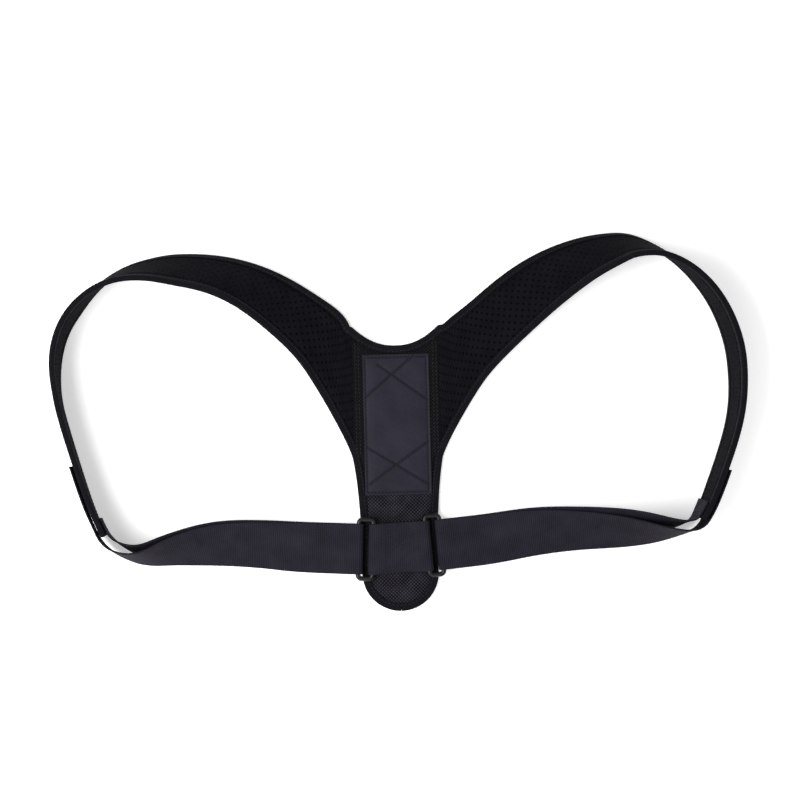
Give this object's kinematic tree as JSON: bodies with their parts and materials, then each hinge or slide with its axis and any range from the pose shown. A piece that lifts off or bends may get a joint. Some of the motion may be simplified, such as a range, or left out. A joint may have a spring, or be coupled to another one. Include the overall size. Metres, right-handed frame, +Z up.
{
  "type": "posture corrector",
  "caption": "Back brace laid flat: padded shoulder wings on a spine panel, taped edges, and webbing straps that run through plastic rings and fasten back on the wings.",
  "frame": {"origin": "middle of the footprint, on the surface that the piece lies on", "axes": "+Z up out of the surface, +Y along the spine towards the neck, +X towards the wearer's right arm loop"},
  "size_m": [0.544, 0.298, 0.0496],
  "materials": {
    "padded_knit": "perforated neoprene foam faced with fine black knit, violet-grey cast, matt",
    "binding_tape": "woven nylon binding tape, near black, sewn along both edges, slight sheen",
    "webbing": "ribbed polyester webbing, near black, faint sheen on the ribs",
    "satin_patch": "smooth dark grey-violet satin, soft sheen",
    "hook_tape": "black hook tape, matt and slightly bristly",
    "ring_plastic": "moulded black acetal, smooth, soft gloss"
  },
  "bodies": {
    "root": {"wing_left": "padded_knit", "wing_right": "padded_knit", "spine_panel": "padded_knit", "tape_neck": "binding_tape", "tape_arm_left": "binding_tape", "tape_arm_right": "binding_tape", "spine_patch": "satin_patch", "strap_left": "webbing", "strap_right": "webbing", "ring_web": "webbing", "hook_tab_left": "hook_tape", "hook_tab_right": "hook_tape", "ring_left": "ring_plastic", "ring_right": "ring_plastic"}
  },
  "joints": []
}
